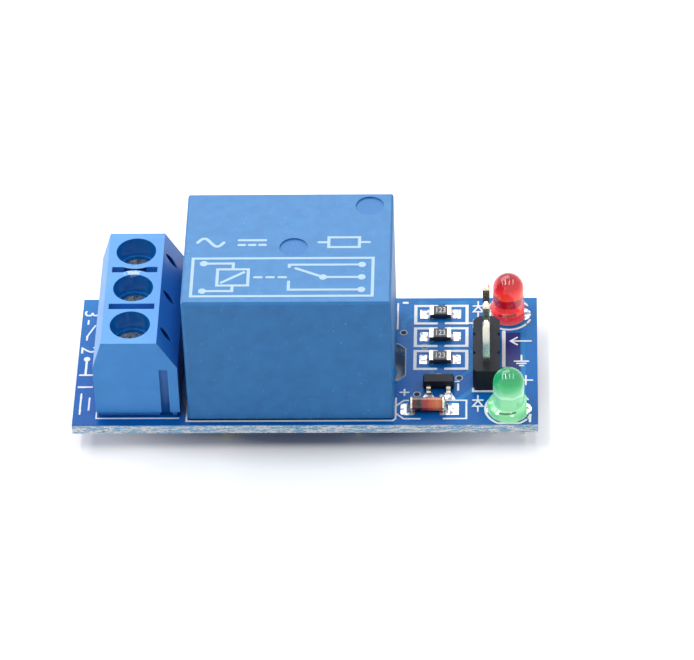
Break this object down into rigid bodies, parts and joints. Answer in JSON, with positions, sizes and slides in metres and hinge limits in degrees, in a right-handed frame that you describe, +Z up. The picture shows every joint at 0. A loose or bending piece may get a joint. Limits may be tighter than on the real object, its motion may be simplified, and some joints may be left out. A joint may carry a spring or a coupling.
{
  "type": "relay module board",
  "caption": "Small rectangular circuit board with a cased relay, a screw terminal block, a pin header, chips and two lamps; a control signal switches a changeover contact.",
  "frame": {"origin": "under the middle of the board, level with the trimmed ends of the leads that it stands on", "axes": "+X along the board from the screw terminals to the pin header, +Y from the front long edge to the back one, +Z up, out of the component side"},
  "size_m": [0.043, 0.0174, 0.0176],
  "materials": {
    "board_laminate": "glass-fibre laminate with a blue solder mask",
    "terminal_plastic": "moulded blue plastic, satin",
    "relay_plastic": "moulded blue plastic, satin",
    "bobbin_plastic": "moulded white plastic",
    "black_plastic": "moulded black plastic",
    "black_glaze": "black overcoat",
    "dark_ceramic": "dark ceramic",
    "tinned_brass": "tin plated brass",
    "plated_steel": "zinc plated steel",
    "plated_pin": "bright tin plate",
    "soft_iron": "nickel plated soft iron",
    "spring_bronze": "rolled bronze",
    "brass_strip": "rolled brass",
    "contact_silver": "silver alloy",
    "copper_wire": "enamelled copper wire",
    "gold_die": "light-emitting die",
    "red_epoxy": "red tinted diffusing epoxy",
    "green_epoxy": "green tinted diffusing epoxy",
    "diode_glass": "tinted glass",
    "solder": "bright solder",
    "white_print": "white screen-printed ink"
  },
  "bodies": {
    "module": {"circuit_board": "board_laminate", "terminal_housing": "terminal_plastic", "terminal_cage_1": "tinned_brass", "terminal_cage_2": "tinned_brass", "terminal_cage_3": "tinned_brass", "relay_cover": "relay_plastic", "relay_base": "relay_plastic", "relay_yoke": "soft_iron", "coil_bobbin": "bobbin_plastic", "coil_winding": "copper_wire", "coil_core": "soft_iron", "coil_pin_front": "tinned_brass", "coil_pin_back": "tinned_brass", "closed_terminal": "brass_strip", "closed_contact": "contact_silver", "open_terminal": "brass_strip", "open_contact": "contact_silver", "common_terminal": "brass_strip", "header_housing": "black_plastic", "header_pin_1": "plated_pin", "header_pin_2": "plated_pin", "header_pin_3": "plated_pin", "red_lamp_lens": "red_epoxy", "red_lamp_anode": "plated_pin", "red_lamp_cathode": "plated_pin", "red_lamp_chip": "gold_die", "green_lamp_lens": "green_epoxy", "green_lamp_anode": "plated_pin", "green_lamp_cathode": "plated_pin", "green_lamp_chip": "gold_die", "resistor_1_body": "dark_ceramic", "resistor_2_body": "dark_ceramic", "resistor_3_body": "dark_ceramic", "resistor_1_glaze": "black_glaze", "resistor_2_glaze": "black_glaze", "resistor_3_glaze": "black_glaze", "resistor_1_caps": "plated_pin", "resistor_2_caps": "plated_pin", "resistor_3_caps": "plated_pin", "transistor_body": "black_plastic", "transistor_lead_1": "plated_pin", "transistor_lead_2": "plated_pin", "transistor_lead_3": "plated_pin", "diode_glass": "diode_glass", "diode_cap_left": "plated_pin", "diode_cap_right": "plated_pin", "solder_joints": "solder"},
    "plate_1": {"pressure_plate_1": "plated_steel"},
    "screw_1": {"terminal_screw_1": "plated_steel"},
    "plate_2": {"pressure_plate_2": "plated_steel"},
    "screw_2": {"terminal_screw_2": "plated_steel"},
    "plate_3": {"pressure_plate_3": "plated_steel"},
    "screw_3": {"terminal_screw_3": "plated_steel"},
    "armature": {"relay_armature": "soft_iron", "contact_leaf": "spring_bronze", "moving_contact": "contact_silver"}
  },
  "joints": [
    {"name": "plate_1_slide", "type": "slide", "parent": "module", "child": "plate_1", "axis": [0, 0, 1], "range_m": [0, 0.002]},
    {"name": "screw_1_turn", "type": "hinge", "parent": "plate_1", "child": "screw_1", "pos_m": [-0.01578, -0.00508, 0.009], "axis": [0, 0, 1], "range_deg": [0, 1440]},
    {"name": "plate_2_slide", "type": "slide", "parent": "module", "child": "plate_2", "axis": [0, 0, 1], "range_m": [0, 0.002]},
    {"name": "screw_2_turn", "type": "hinge", "parent": "plate_2", "child": "screw_2", "pos_m": [-0.01578, 0, 0.009], "axis": [0, 0, 1], "range_deg": [0, 1440]},
    {"name": "plate_3_slide", "type": "slide", "parent": "module", "child": "plate_3", "axis": [0, 0, 1], "range_m": [0, 0.002]},
    {"name": "screw_3_turn", "type": "hinge", "parent": "plate_3", "child": "screw_3", "pos_m": [-0.01578, 0.00508, 0.009], "axis": [0, 0, 1], "range_deg": [0, 1440]},
    {"name": "armature_swing", "type": "hinge", "parent": "module", "child": "armature", "pos_m": [0.0066, -0.00055, 0.013], "axis": [0, -1, 0], "range_deg": [0, 2.6], "stiffness_Nm_per_rad": 0.01, "springref_deg": -8.02}
  ],
  "couplings": [
    {"joint": "screw_1_turn", "follows": "plate_1_slide", "rad_per_m": 12566},
    {"joint": "screw_2_turn", "follows": "plate_2_slide", "rad_per_m": 12566},
    {"joint": "screw_3_turn", "follows": "plate_3_slide", "rad_per_m": 12566}
  ]
}
